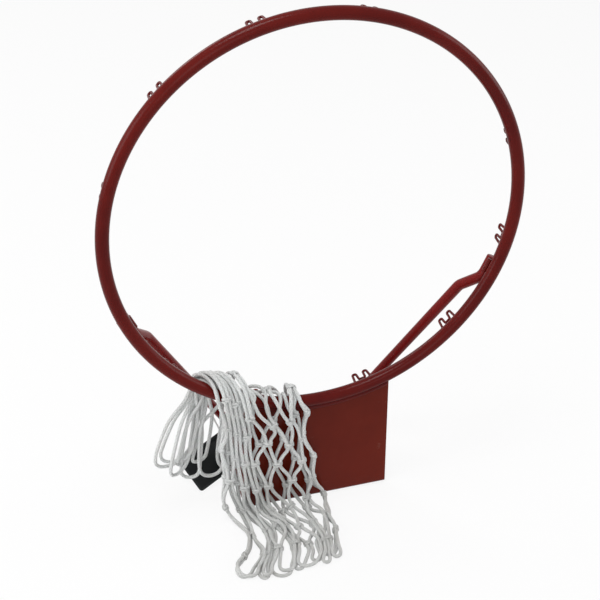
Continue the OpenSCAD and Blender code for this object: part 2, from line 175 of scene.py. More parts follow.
class Finish(Nodes):
    """One material and the nodes that make it."""

    def __init__(self, name):
        self.material = bpy.data.materials.new(name)
        self.material.use_nodes = True
        super().__init__(self.material.node_tree)

    def coordinates(self, kind="Object"):
        return self.value("ShaderNodeTexCoord", output=kind)

    def parts(self, vector):
        """The X, Y and Z of a vector."""
        return self.values("ShaderNodeSeparateXYZ", {}, {"Vector": vector})

    def noise(self, where, scale, detail=2.0, roughness=0.5):
        return self.value("ShaderNodeTexNoise", {}, {
            "Vector": where, "Scale": scale, "Detail": detail, "Roughness": roughness})

    def step(self, value, low, high):
        """0 below low, 1 above high, eased between."""
        return self.value("ShaderNodeMapRange", {"interpolation_type": "SMOOTHSTEP"}, {
            "Value": value, "From Min": low, "From Max": high})

    def mix(self, share, first, second):
        return self.value("ShaderNodeMix", {"data_type": "RGBA"}, {
            0: share, 6: first, 7: second}, output=2)

    def bump(self, height, strength, distance):
        return self.value("ShaderNodeBump", {}, {
            "Height": height, "Strength": strength, "Distance": distance})

    def surface(self, sockets):
        shader = self.value("ShaderNodeBsdfPrincipled", {}, sockets)
        self.node("ShaderNodeOutputMaterial", {}, {"Surface": shader})
        return self.material


# Finishes
PLATE_DEEP = (0.118, 0.0100, 0.0036, 1.0)
PLATE_BRIGHT = (0.138, 0.0125, 0.0048, 1.0)
# The bar's copy of the red paint, also used on the hooks and welds, is darker than the plate's: painted shade
BAR_SHADED_DEEP = (0.088, 0.0044, 0.0034, 1.0)
BAR_SHADED_BRIGHT = (0.118, 0.0072, 0.0050, 1.0)
# The stays' copy of the same red paint is brighter, standing in for light on the stays: painted light
STAY_LIT_DEEP = (0.140, 0.0072, 0.0066, 1.0)
STAY_LIT_BRIGHT = (0.172, 0.0095, 0.0085, 1.0)
PAINT_SCUFF = (0.215, 0.060, 0.044, 1.0)
CORD_PALE = (0.70, 0.715, 0.71, 1.0)
CORD_WARM = (0.65, 0.645, 0.62, 1.0)
# Colour in the grooves between the cord's plaits: painted shade
CORD_GROOVE_SHADE = (0.56, 0.57, 0.565, 1.0)
# Grey for cord near the floor: painted shade
CORD_FLOOR_SHADE = (0.44, 0.44, 0.425, 1.0)
CARD_BLACK = (0.0045, 0.0055, 0.0058, 1.0)
CARD_EDGE = (0.016, 0.018, 0.018, 1.0)
# Paint: share of scuff colour in a rubbed mark, and roughness of the paint, its streaks and its rubbed marks
SCUFF_SHARE = 0.35
PAINT_ROUGH = 0.14
STREAK_ROUGH = 0.12
RUB_ROUGH = 0.16
# Cord: share of warm tint where it is soiled, and roughness of the yarn and its fuzz
SOIL_SHARE = 0.6
CORD_ROUGH = 0.78
FUZZ_ROUGH = 0.12
# Painted shade on cord near the floor: heights in metres where it is full and gone, its share, and more where
# soiled
FLOOR_SHADE_FULL_AT = 0.004
FLOOR_SHADE_GONE_AT = 0.075
FLOOR_SHADE_SHARE = 0.55
FLOOR_SHADE_SOIL = 0.4
# Card: where its border starts and how softly, as shares of its sides, and roughness of face and smears
BORDER_ACROSS = 0.45
BORDER_ALONG = 0.43
BORDER_SOFT = 0.012
BORDER_SHARE = 0.8
CARD_ROUGH = 0.3
SMEAR_ROUGH = 0.25


def painted_steel(name, deep, bright):
    """Red stoved paint: faint orange peel, uneven gloss, a few rubbed marks."""
    paint = Finish(name)
    where = paint.coordinates()
    cloud = paint.noise(where, scale=11.0, detail=3.0)
    streak = paint.noise(where, scale=85.0, detail=4.0, roughness=0.6)
    peel = paint.noise(where, scale=620.0)
    rub = paint.step(paint.noise(where, scale=46.0, detail=6.0, roughness=0.7), low=0.66, high=0.78)
    colour = paint.mix(paint.step(cloud + 0.25 * streak, low=0.42, high=0.82), deep, bright)
    colour = paint.mix(rub * SCUFF_SHARE, colour, PAINT_SCUFF)
    return paint.surface({
        "Base Color": colour,
        "Roughness": PAINT_ROUGH + STREAK_ROUGH * streak + RUB_ROUGH * rub,
        "Specular IOR Level": 0.1,
        "Normal": paint.bump(peel + 0.5 * streak, strength=0.16, distance=0.0006),
    })


def braided_cord(name, plaits, turns):
    """White cord of plaited yarn. Its UV map runs round the cord once and along it in cord widths."""
    cord = Finish(name)
    where = cord.coordinates()
    around, along, _ = cord.parts(cord.coordinates("UV"))
    lean = 2 * math.pi * plaits * around
    run = 2 * math.pi * turns * along
    plait = (lean + run).sine().at_least((lean - run).sine())
    groove = cord.step(plait, low=0.05, high=0.85)
    soil = cord.step(cord.noise(where, scale=24.0, detail=3.0), low=0.42, high=0.7)
    fuzz = cord.noise(where, scale=1500.0)
    colour = cord.mix(soil * SOIL_SHARE, CORD_PALE, CORD_WARM)
    # The grooves between the plaits get a darker colour: painted shade
    colour = cord.mix(groove, CORD_GROOVE_SHADE, colour)
    # Cord darkens towards the floor: painted shade, deeper where soiled
    _, _, height = cord.parts(where)
    near_floor = 1.0 - cord.step(height, low=FLOOR_SHADE_FULL_AT, high=FLOOR_SHADE_GONE_AT)
    colour = cord.mix(near_floor * (FLOOR_SHADE_SHARE + FLOOR_SHADE_SOIL * soil), colour, CORD_FLOOR_SHADE)
    return cord.surface({
        "Base Color": colour,
        "Roughness": CORD_ROUGH + FUZZ_ROUGH * fuzz,
        "Specular IOR Level": 0.25,
        "Sheen Weight": 0.25,
        "Sheen Roughness": 0.6,
        "Subsurface Weight": 0.5,
        "Subsurface Radius": (1.0, 1.0, 1.0),
        "Subsurface Scale": 0.0035,
        "Normal": cord.bump(plait + 0.2 * fuzz, strength=0.4, distance=0.0004),
    })


def gloss_card():
    """Black laminated card with a slightly paler border and faint handling marks."""
    card = Finish("gloss_card")
    where = card.coordinates()
    across, along, _ = card.parts(card.coordinates("UV"))
    past_edge = ((across - 0.5).size() - BORDER_ACROSS).at_least((along - 0.5).size() - BORDER_ALONG)
    border = card.step(past_edge, low=0.0, high=BORDER_SOFT)
    smear = card.noise(where, scale=60.0, detail=4.0, roughness=0.65)
    return card.surface({
        "Base Color": card.mix(border * BORDER_SHARE, CARD_BLACK, CARD_EDGE),
        "Roughness": CARD_ROUGH + SMEAR_ROUGH * smear,
        "Specular IOR Level": 0.12,
        "Normal": card.bump(card.noise(where, scale=22.0), strength=0.08, distance=0.002),
    })


PLATE_PAINT = painted_steel("plate_paint", PLATE_DEEP, PLATE_BRIGHT)
# Darker copy of the plate's paint for the bar, hooks and welds: painted shade
BAR_PAINT_SHADED = painted_steel("bar_paint", BAR_SHADED_DEEP, BAR_SHADED_BRIGHT)
# Brighter copy of the same paint for the stays: painted light
STAY_PAINT_LIT = painted_steel("stay_paint", STAY_LIT_DEEP, STAY_LIT_BRIGHT)
NET_FINISH = braided_cord("net_braid", plaits=4, turns=0.8)
TIE_FINISH = braided_cord("tie_twist", plaits=3, turns=0.7)
CARD = gloss_card()


# Mesh helpers
EDGE_ANGLE = math.radians(40)
SHARP_ANGLE = math.radians(38)
# Share of a path's first direction that is vertical, past which its first side can't be found level
STEEP = 0.9


def make_piece(name, points, faces, material, uv=None):
    """Smooth mesh object from points in millimetres. uv holds one pair per face corner."""
    mesh = bpy.data.meshes.new(name)
    mesh.from_pydata((np.asarray(points) * MM).tolist(), [], [list(map(int, face)) for face in faces])
    if uv is not None:
        layer = mesh.uv_layers.new(name="surface")
        layer.data.foreach_set("uv", np.asarray(uv, float).ravel())
    mesh.materials.append(material)
    mesh.shade_smooth()
    piece = bpy.data.objects.new(name, mesh)
    bpy.context.scene.collection.objects.link(piece)
    return piece


def finish_piece(piece, body, slot, *nodes):
    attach(piece, body)
    if nodes:
        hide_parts(*nodes)


def settle(piece):
    """Turns a piece and its modifiers into a plain mesh."""
    graph = bpy.context.evaluated_depsgraph_get()
    mesh = bpy.data.meshes.new_from_object(piece.evaluated_get(graph))
    made = bpy.data.objects.new(piece.name, mesh)
    name = piece.name
    bpy.data.objects.remove(piece)
    made.name = name
    bpy.context.scene.collection.objects.link(made)
    return made


def drill_and_round(plate, spots, depth, hole_d, hole_sides, edge_w, edge_steps):
    """Drills holes along Z at spots, rounds the plate's edges and makes it a plain mesh."""
    drills = []
    for x, y in spots:
        points, faces, _ = tube([(x, y, z) for z in depth], hole_d / 2, hole_sides)
        drill = make_piece("drill", points, faces, plate.data.materials[0])
        drills.append(drill)
        hole = plate.modifiers.new("hole", "BOOLEAN")
        hole.object = drill
        hole.solver = "EXACT"
    edge = plate.modifiers.new("edge", "BEVEL")
    edge.width = edge_w * MM
    edge.segments = edge_steps
    edge.limit_method = "ANGLE"
    edge.angle_limit = EDGE_ANGLE
    plate = settle(plate)
    for drill in drills:
        bpy.data.objects.remove(drill)
    plate.data.shade_smooth()
    plate.data.set_sharp_from_angle(angle=SHARP_ANGLE)
    return plate


def unit(vectors):
    return vectors / np.linalg.norm(vectors, axis=-1, keepdims=True)


def carried_sides(tangents, closed):
    """Sideways directions along a path, carried without twist, and evened out if the path closes."""
    side = np.cross(tangents[0], (0.0, 0.0, 1.0) if abs(tangents[0][2]) < STEEP else (1.0, 0.0, 0.0))
    sides = []
    for tangent in tangents:
        side = side - tangent * side.dot(tangent)
        side = side / math.sqrt(side.dot(side))
        sides.append(side)
    sides = np.array(sides)
    if not closed:
        return sides
    last = sides[-1] - tangents[0] * sides[-1].dot(tangents[0])
    slip = math.atan2(np.cross(last, sides[0]).dot(tangents[0]), last.dot(sides[0]))
    turn = (slip * np.arange(len(sides)) / len(sides))[:, None]
    return sides * np.cos(turn) + np.cross(tangents, sides) * np.sin(turn)


def tube(path, radii, sides, closed=False):
    """Points, faces and UVs of a round tube along a path, open tubes with flat ends."""
    path = np.asarray(path, float)
    count = len(path)
    ahead = np.roll(path, -1, 0) - np.roll(path, 1, 0)
    if not closed:
        ahead[0] = path[1] - path[0]
        ahead[-1] = path[-1] - path[-2]
    tangents = unit(ahead)
    level = carried_sides(tangents, closed)
    upright = np.cross(tangents, level)
    phi = 2 * np.pi * np.arange(sides) / sides
    ring = level[:, None] * np.cos(phi)[None, :, None] + upright[:, None] * np.sin(phi)[None, :, None]
    radii = np.broadcast_to(np.asarray(radii, float), (count,))
    points = (path[:, None] + ring * radii[:, None, None]).reshape(-1, 3)
    steps = np.linalg.norm(np.roll(path, -1, 0) - path, axis=1)
    along = np.concatenate([[0.0], np.cumsum(steps)])
    width = 2 * float(radii.mean())
    rings = count if closed else count - 1
    faces = []
    uv = []
    for j in range(rings):
        low = along[j] / width
        high = along[j + 1] / width
        for i in range(sides):
            n = (i + 1) % sides
            base = j * sides
            over = (j + 1) % count * sides
            faces.append((base + i, base + n, over + n, over + i))
            uv += [(i / sides, low), ((i + 1) / sides, low), ((i + 1) / sides, high), (i / sides, high)]
    if not closed:
        faces.append(tuple(range(sides - 1, -1, -1)))
        faces.append(tuple((count - 1) * sides + i for i in range(sides)))
        uv += [(0.0, 0.0)] * (2 * sides)
    return points, faces, uv


def bent_path(points, radius, step):
    """Path through points with round bends of one radius at its inner points."""
    points = [np.asarray(p, float) for p in points]
    path = [points[0]]
    for a, b, c in zip(points, points[1:], points[2:]):
        run = unit(b - a)
        leave = unit(c - b)
        angle = math.acos(run.dot(leave))
        start = b - run * radius * math.tan(angle / 2)
        inward = unit(leave - run * run.dot(leave))
        steps = max(2, math.ceil(angle / step))
        for j in range(steps + 1):
            part = angle * j / steps
            path.append(start + radius * (run * math.sin(part) + inward * (1 - math.cos(part))))
    path.append(points[-1])
    return np.array(path)


def smooth_line(places, times, closed=False):
    """Smooth curve through places, with times points to each stretch."""
    places = np.asarray(places, float)
    if closed:
        padded = np.concatenate([places[-1:], places, places[:2]])
    else:
        padded = np.concatenate([[2 * places[0] - places[1]], places, [2 * places[-1] - places[-2]]])
    before = padded[:-3]
    here = padded[1:-2]
    after = padded[2:-1]
    later = padded[3:]
    made = []
    for t in np.arange(times) / times:
        made.append(0.5 * (2 * here + (after - before) * t
                           + (2 * before - 5 * here + 4 * after - later) * t * t
                           + (3 * here - before - 3 * after + later) * t ** 3))
    made = np.stack(made, axis=1).reshape(-1, 3)
    return made if closed else np.concatenate([made, places[-1:]])


# Ring: one round bar
RING_STEPS = 288
RING_SIDES = 32


def make_ring():
    turn = 2 * np.pi * np.arange(RING_STEPS) / RING_STEPS
    path = [hoop_point(angle, MID_R, 0.0) for angle in turn]
    points, faces, uv = tube(path, BAR_R, RING_SIDES, closed=True)
    finish_piece(make_piece("ring_bar", points, faces, BAR_PAINT_SHADED, uv), "frame", "frame_paint", "rim_ring")


make_ring()


# Bracket: one plate, folded once, its neck hollowed to the bar
FOLD_R = 2.0
NECK_INTO_BAR = 1.2
HOLE_D = 10.5
HOLE_PITCH_X = 110.0
HOLE_PITCH_Y = 70.0
HOLE_SIDES = 40
PLATE_ROUND = 0.7
ROUND_STEPS = 3
PLATE_COLUMNS = 56
NECK_ROWS = 12
FOLD_ROWS = 8
FLANGE_ROWS = 10


def make_bracket():
    across = np.linspace(-PLATE_HALF_W, PLATE_HALF_W, PLATE_COLUMNS + 1)
    fold_top = FOLD_R + PLATE_T
    fold_mid_r = FOLD_R + PLATE_T / 2
    points = []
    for x in across:
        top = RING_Z - math.sqrt((MID_R + BAR_R - NECK_INTO_BAR) ** 2 - x * x)
        for z in np.linspace(top, fold_top, NECK_ROWS, endpoint=False):
            points.append((x, HOOP_Y, z))
        for a in np.linspace(0.0, math.pi / 2, FOLD_ROWS + 1):
            points.append((x, HOOP_Y + fold_mid_r * (1 - math.cos(a)), fold_top - fold_mid_r * math.sin(a)))
        for y in np.linspace(HOOP_Y + fold_mid_r, FLANGE_BACK, FLANGE_ROWS + 1)[1:]:
            points.append((x, y, PLATE_T / 2))
    column = len(points) // (PLATE_COLUMNS + 1)
    faces = [(i * column + j, i * column + j + 1, (i + 1) * column + j + 1, (i + 1) * column + j)
             for i in range(PLATE_COLUMNS) for j in range(column - 1)]
    plate = make_piece("folded_bracket", points, faces, PLATE_PAINT)
    wall = plate.modifiers.new("wall", "SOLIDIFY")
    wall.thickness = PLATE_T * MM
    wall.offset = 0.0
    plate = settle(plate)
    spots = [(x * HOLE_PITCH_X, y * HOLE_PITCH_Y) for x in (-0.5, 0.5) for y in (-0.5, 0.5)]
    depth = (-PLATE_T, 2 * PLATE_T)
    plate = drill_and_round(plate, spots, depth, HOLE_D, HOLE_SIDES, PLATE_ROUND, ROUND_STEPS)
    finish_piece(plate, "frame", "frame_paint", "bracket")


make_bracket()


# Stays: bent rods from the flange to the back of the bar
STAY_R = 6.5
STAY_BEND_R = 20.0
STAY_SIDES = 28
STAY_FOOT = np.array([55.0, 120.0, PLATE_T])
CRANK_ANGLE = math.radians(-35.5)
CRANK_INSET = 3.0
CRANK_Y = 37.0
SEAT_ANGLE = math.radians(-28.5)
TIP_ANGLE = math.radians(-22.0)
BEND_STEP = math.radians(5)
STAY_SHARP = math.radians(50)
# Rounded tip, with a shoulder at a share of it; the foot runs into the plate and is cut flat inside it
TIP_ROUND = 0.8
TIP_SHOULDER = 0.3 * TIP_ROUND
FOOT_SUNK = 0.5 * STAY_R
FOOT_CUT = 0.6 * PLATE_T
SIDES = {"left": -1.0, "right": 1.0}


def mirrored(point, side):
    return np.array([side * point[0], point[1], point[2]])


STAY_POINTS = [
    STAY_FOOT + (0.0, HOOP_Y, 0.0),
    hoop_point(CRANK_ANGLE, MID_R - CRANK_INSET, CRANK_Y),
    hoop_point(SEAT_ANGLE, MID_R, BAR_R + STAY_R),
    hoop_point(TIP_ANGLE, MID_R, BAR_R + STAY_R),
]


def make_stay(name):
    corners = [mirrored(p, SIDES[name]) for p in STAY_POINTS]
    path = list(bent_path(corners, STAY_BEND_R, BEND_STEP))
    path[0] = path[0] - unit(path[1] - path[0]) * FOOT_SUNK
    end = unit(path[-1] - path[-2])
    path[-1:] = [path[-1] - end * TIP_ROUND, path[-1] - end * TIP_SHOULDER, path[-1]]
    radii = np.full(len(path), STAY_R)
    radii[-2] = STAY_R - TIP_SHOULDER
    radii[-1] = STAY_R - TIP_ROUND
    points, faces, uv = tube(path, radii, STAY_SIDES)
    points[:, 2] = np.maximum(points[:, 2], FOOT_CUT)
    stay = make_piece(f"stay_rod_{name}", points, faces, STAY_PAINT_LIT, uv)
    stay.data.set_sharp_from_angle(angle=STAY_SHARP)
    finish_piece(stay, "frame", "frame_paint", f"stay_{name}")


for side_name in SIDES:
    make_stay(side_name)


# Geometry trees, for hooks and welds
class Tree(Nodes):
    """One geometry node tree with named inputs for its sizes."""

    def __init__(self, name, inputs):
        super().__init__(bpy.data.node_groups.new(name, "GeometryNodeTree"))
        interface = self.tree.interface
        interface.new_socket("Geometry", in_out="INPUT", socket_type="NodeSocketGeometry")
        self.sockets = {}
        for title, kind in inputs.items():
            made = interface.new_socket(title, in_out="INPUT", socket_type="NodeSocket" + kind)
            self.sockets[title] = made.identifier
        interface.new_socket("Geometry", in_out="OUTPUT", socket_type="NodeSocketGeometry")
        self.given = self.node("NodeGroupInput")

    def input(self, title):
        return Value(self, self.given.outputs[title])

    def close(self, geometry):
        real = self.value("GeometryNodeRealizeInstances", {}, {"Geometry": geometry})
        painted = self.value("GeometryNodeSetMaterial", {}, {
            "Geometry": real, "Material": self.input("Material")})
        self.node("NodeGroupOutput", {}, {0: painted})

    def grow(self, name, lines, values, cyclic=False):
        """Runs the tree on poly lines in millimetres and returns the plain mesh object."""
        curve = bpy.data.curves.new(name, "CURVE")
        curve.dimensions = "3D"
        for line in lines:
            spline = curve.splines.new("POLY")
            spline.points.add(len(line) - 1)
            spline.use_cyclic_u = cyclic
            for point, place in zip(spline.points, line):
                point.co = (*(np.asarray(place) * MM), 1.0)
        piece = bpy.data.objects.new(name, curve)
        bpy.context.scene.collection.objects.link(piece)
        nodes = piece.modifiers.new("nodes", "NODES")
        nodes.node_group = self.tree
        for title, given in values.items():
            nodes[self.sockets[title]] = given
        made = settle(piece)
        made.data.shade_smooth()
        return made


# Net hooks: one bent wire, repeated round the hoop
HOOK_COUNT = 12
HOOK_WIRE_R = 1.5
HOOK_HALF_SPAN = 10.5
HOOK_PRONG_X = 6.5
HOOK_PRONG_W = 4.2
HOOK_LINK_X = 3.8
HOOK_LINK_H = 13.0
HOOK_BEND_R = 1.95
HOOK_SUNK = 1.6
HOOK_BEND_STEPS = 8
HOOK_WIRE_SIDES = 14
HOOK_SHARP = math.radians(60)
WIRE_STEP = 1.0


def hook_tree():
    tree = Tree("hooks_round_the_hoop", {
        "Count": "Int", "Hoop radius": "Float", "Hoop centre": "Vector",
        "Wire radius": "Float", "Bend radius": "Float", "Material": "Material"})
    count = tree.input("Count")
    radius = tree.input("Hoop radius")
    bent = tree.value("GeometryNodeFilletCurve", {"mode": "POLY"}, {
        "Curve": tree.input("Geometry"), "Count": HOOK_BEND_STEPS,
        "Radius": tree.input("Bend radius"), "Limit Radius": True})
    profile = tree.value("GeometryNodeCurvePrimitiveCircle", {}, {
        "Resolution": HOOK_WIRE_SIDES, "Radius": tree.input("Wire radius")})
    wire = tree.value("GeometryNodeCurveToMesh", {}, {
        "Curve": bent, "Profile Curve": profile, "Fill Caps": True})
    angle = (tree.value("GeometryNodeInputIndex") + 0.5) * (2 * math.pi / count)
    reach = tree.value("ShaderNodeCombineXYZ", {}, {
        "X": angle.cosine() * radius, "Z": angle.sine() * radius})
    place = tree.value("ShaderNodeVectorMath", {"operation": "ADD"}, {
        0: reach, 1: tree.input("Hoop centre")})
    points = tree.value("GeometryNodePoints", {}, {"Count": count, "Position": place})
    turn = tree.value("ShaderNodeCombineXYZ", {}, {"Y": -math.pi / 2 - angle})
    tree.close(tree.value("GeometryNodeInstanceOnPoints", {}, {
        "Points": points, "Instance": wire, "Rotation": turn}))
    return tree


def hook_line():
    """Corners of one hook's wire, along the bar and away from it."""
    top = HOOK_TIP - HOOK_WIRE_R
    half = [(HOOK_HALF_SPAN, BAR_R - HOOK_SUNK), (HOOK_PRONG_X + HOOK_PRONG_W / 2, top),
            (HOOK_PRONG_X - HOOK_PRONG_W / 2, top), (HOOK_LINK_X, HOOK_LINK_H)]
    return np.array([(-x, y, 0.0) for x, y in half] + [(x, y, 0.0) for x, y in reversed(half)])


def hook_wire(number):
    """Points along the wire of one hook, relative to the hoop's plane."""
    corners = hook_line()
    along = np.concatenate([[0.0], np.cumsum(np.linalg.norm(np.diff(corners, axis=0), axis=1))])
    at = np.arange(0.0, along[-1], WIRE_STEP)
    x = np.interp(at, along, corners[:, 0])
    y = np.interp(at, along, corners[:, 1])
    angle = 2 * math.pi * (number - 0.5) / HOOK_COUNT
    return np.stack([MID_R * math.cos(angle) - x * math.sin(angle), y,
                     RING_Z + MID_R * math.sin(angle) + x * math.cos(angle)], axis=1)


def make_hooks():
    hooks = hook_tree().grow("net_hooks", [hook_line()], {
        "Count": HOOK_COUNT, "Hoop radius": MID_R * MM,
        "Hoop centre": (0.0, HOOP_Y * MM, RING_Z * MM), "Wire radius": HOOK_WIRE_R * MM,
        "Bend radius": HOOK_BEND_R * MM, "Material": BAR_PAINT_SHADED})
    hooks.data.set_sharp_from_angle(angle=HOOK_SHARP)
    nodes = [f"net_hook_{i:02d}" for i in range(1, HOOK_COUNT + 1)]
    finish_piece(hooks, "frame", "frame_paint", *nodes)


make_hooks()


# Welds: rippled beads laid along the seams
BEAD_R = 2.6
BEAD_PITCH = 1.7
BEAD_STEP = 0.42
BEAD_RIPPLE = 0.13
BEAD_SIDES = 12
SEAM_STEPS = 60
# Where the beads lie: out from a foot's rod and up from the plate; off a top's middle, from and to along it
FOOT_BEAD_OUT = 0.6
FOOT_BEAD_UP = 0.4
TOP_BEAD_OFF = 0.9 * STAY_R
TOP_BEAD_FROM = 0.35
TOP_BEAD_TO = 0.97
TOP_BEAD_POINTS = 12


def bead_tree():
    tree = Tree("rippled_bead", {
        "Bead radius": "Float", "Ripple pitch": "Float", "Ripple depth": "Float",
        "Step": "Float", "Material": "Material"})
    fine = tree.value("GeometryNodeResampleCurve", {"mode": "LENGTH"}, {
        "Curve": tree.input("Geometry"), "Length": tree.input("Step")})
    along = tree.value("GeometryNodeSplineParameter", output="Length")
    wave = (along / tree.input("Ripple pitch") * math.pi).sine().size()
    swell = 1.0 + wave * tree.input("Ripple depth")
    profile = tree.value("GeometryNodeCurvePrimitiveCircle", {}, {
        "Resolution": BEAD_SIDES, "Radius": tree.input("Bead radius")})
    tree.close(tree.value("GeometryNodeCurveToMesh", {}, {
        "Curve": fine, "Profile Curve": profile, "Scale": swell, "Fill Caps": True}))
    return tree


BEADS = bead_tree()


def make_bead(name, lines, node, cyclic=False):
    bead = BEADS.grow(name, lines, {
        "Bead radius": BEAD_R * MM, "Ripple pitch": BEAD_PITCH * MM, "Ripple depth": BEAD_RIPPLE,
        "Step": BEAD_STEP * MM, "Material": BAR_PAINT_SHADED}, cyclic)
    finish_piece(bead, "frame", "frame_paint", node)


def neck_seam(face):
    half = math.asin((PLATE_HALF_W - BEAD_R) / (MID_R + BAR_R))
    offset = face * (PLATE_T / 2 + BEAD_R / 2)
    angles = np.linspace(-half, half, SEAM_STEPS) - math.pi / 2
    return [hoop_point(angle, MID_R + BAR_R, offset) for angle in angles]


def foot_seam(side):
    foot = mirrored(STAY_POINTS[0], side)
    run = unit(mirrored(STAY_POINTS[1], side) - foot)
    ring = []
    for a in np.linspace(0.0, 2 * math.pi, SEAM_STEPS, endpoint=False):
        out = np.array([math.cos(a), math.sin(a), 0.0])
        stretch = 1 / math.sqrt(1 - run.dot(out) ** 2)
        ring.append(foot + out * (STAY_R + FOOT_BEAD_OUT) * stretch + (0.0, 0.0, FOOT_BEAD_UP))
    return ring


def top_seams(side):
    seat = mirrored(STAY_POINTS[2], side)
    tip = mirrored(STAY_POINTS[3], side)
    middle = (seat + tip) / 2
    outward = unit(np.array([middle[0], 0.0, middle[2] - RING_Z]))
    shares = np.linspace(TOP_BEAD_FROM, TOP_BEAD_TO, TOP_BEAD_POINTS)
    seams = []
    for groove in (-1.0, 1.0):
        shift = outward * groove * TOP_BEAD_OFF - (0.0, STAY_R, 0.0)
        seams.append([seat + (tip - seat) * share + shift for share in shares])
    return seams


make_bead("neck_bead_front", [neck_seam(-1.0)], "weld_neck_front")
make_bead("neck_bead_back", [neck_seam(1.0)], "weld_neck_back")
for side_name, side_sign in SIDES.items():
    make_bead(f"foot_bead_{side_name}", [foot_seam(side_sign)], f"weld_stay_foot_{side_name}", cyclic=True)
    make_bead(f"top_beads_{side_name}", top_seams(side_sign), f"weld_stay_top_{side_name}")


# Net: one closed cord, up and down through twelve loops, held in pairs so that it makes a tube of
# diamonds. It is laid out folded over the bar, and then worked until the cord has its length and lies
# on what carries it. Its places are relative to the hoop's plane.
CORD_D = 4.2
CORD_SIDES = 10
COLUMNS = 12
HALF_COLUMNS = COLUMNS / 2
ROWS = 7
LOOP_LEN = 140.0
ROW_PITCH = 36.0
BOTTOM_LEN = 46.0
LAST_KNOT = LOOP_LEN + ROWS * ROW_PITCH
LEG_LEN = LAST_KNOT + BOTTOM_LEN
# Links of cord in a loop's leg, in a row and in half a bottom loop, and points of the curve to a link
LOOP_STEPS = 28
ROW_STEPS = 7
BOTTOM_STEPS = 9
LEG_STEPS = LOOP_STEPS + ROWS * ROW_STEPS + BOTTOM_STEPS
LINK_POINTS = 3
# A link's least length, and its share of the distance that it is laid out over
LINK_LEAST = 4.7
LINK_DRAWN = 0.97
# The flattened tube: its layers' distance from its middle, the columns that turn at its edges, its fold
LAYER_OFF = 0.56 * CORD_D
EDGE_COLUMNS = 0.35
FOLD_AT = 0.5
# Bends of the tube's middle over the bar and on to the floor
BAR_GAP = 0.5
FOLD_RHO = BAR_R + BAR_GAP + CORD_D / 2 + LAYER_OFF
QUARTER = FOLD_RHO * math.pi / 2
FLOOR_RHO = 16.0
FLOOR_QUARTER = FLOOR_RHO * math.pi / 2
FLOOR_LIE = CORD_D / 2 + LAYER_OFF
# Where the columns lie behind the bar and on top of it, in two bunches either side of a hook
BEHIND_BAR = [(0.0, -144.5), (1.0, -141.0), (2.0, -136.0), (3.0, -121.0), (3.6, SPLIT_X - 38.0),
              (4.0, SPLIT_X - 34.0), (4.4, SPLIT_X + 18.0), (6.0, SPLIT_X + 40.0)]
ON_BAR = [(0.0, -119.0), (3.6, SPLIT_X - 21.0), (4.4, SPLIT_X + 8.0), (6.0, SPLIT_X + 43.0)]
# Distances past the crest between which the columns cross the bar, and where they hang free in front of it
CROSS_FROM = -22.0
CROSS_TO = 8.0
FALL_FROM = 46.0
# How far each column has slipped back over the bar, and how far its rows are drawn out in front of it
SLIP = [(0.0, 22.0), (2.5, 12.0), (4.0, 0.0)]
DRAWN_OUT = [(0.0, 1.07), (2.5, 0.98), (4.0, 0.9), (6.0, 0.82)]
# How far the slack cords stand off the bar at the crest, by column
HEAP = [(0.0, 3.0), (0.7, 11.0), (2.0, 20.0), (3.6, 25.0), (4.0, 8.0), (4.4, 17.0), (5.0, 14.0), (5.5, 9.0),
        (6.0, 4.0)]
HEAP_REACH = 44.0
# Shares of that height, outside and against the bar, and a wave round the tube that loosens the pile
HEAP_SHARE = {"outside": 0.78, "inside": 0.3}
HEAP_WAVES = 5
HEAP_START = 1.0
HEAP_LOOSE = 0.22
# Edges of the fall and of the tail on the floor, by distance past the crest
LEFT_EDGE = [(34, -116), (90, -117), (162, -119), (205, -100), (240, -106), (270, -124), (300, -126),
             (330, -112)]
RIGHT_EDGE = [(0, -15), (47, -11), (100, -8), (142, -4), (170, 3), (212, 1), (251, -7), (273, -14),
              (330, -30)]
# The left half of the columns hangs close together, less so on the floor
CLOSE_SHARE = [(85, 0.3), (140, 0.4), (190, 0.5), (270, 0.52)]
# The right half spreads, with its last columns drawn together at the edge
OPEN_SHARE = [(3.0, 0.0), (4.0, 0.36), (5.0, 0.78), (6.0, 1.0)]
# Towards the floor the columns draw into bunches: how many, their start, and how far, by distance past
# the crest
BUNCHES = 4
BUNCH_START = 2.9
BUNCH_DEPTH = [(120, 0.0), (190, 0.22)]
# The two layers don't lie mesh on mesh: shift between them in columns, by distance past the crest
LAYER_SHIFT = [(-18, 0.0), (0, -0.45), (10, -0.45), (50, 0.2)]
# Uneven hang: waves round the tube, their change along it and their start, and how far they move the cord
SWAY = [(2, 0.021, 0.4), (3, -0.034, 2.1)]
SWAY_X = 2.6
SWAY_X_START = 1.3
SWAY_V = 4.0
# Each loop's tip behind the bar: its lean along the bar, its place behind, its width, its turn and its lift
LOOPS = [
    (-25, 3, 28, 30, 0.02), (-14, 10, 22, -15, -0.1), (-4, 2, 30, 0, -0.04), (-6, 6, 34, -10, 0.04),
    (-8, 6, 20, 10, 0.08), (8, 10, 22, -15, 0.05), (4, 18, 24, 35, 0.02), (4, 20, 30, -20, 0.0),
    (-16, 22, 18, 15, 0.08), (-19, 24, 28, 40, 0.04), (-28, 20, 34, -15, 0.1), (-29, 8, 46, 10, 0.12),
]
# A loop's form: how its lean grows, where it is free of the bar, its neck's width and its round end's length
LEAN_CURVE = 1.1
LOOP_FREE = 0.4
LOOP_NECK = 0.2
LOOP_ROUND = 0.75
# The loops beside the hook draw their legs together behind the bar, so that the hook stands between them
HOOK_COLUMN = 4.5
OWN_REACH = 10.0
OWN_SHARE = 0.85
# How sharply a leg swings from one pair to the next, by row
WAIST = [(0.0, 1.15), (3.0, 1.25), (5.0, 1.6), (7.0, 1.7)]
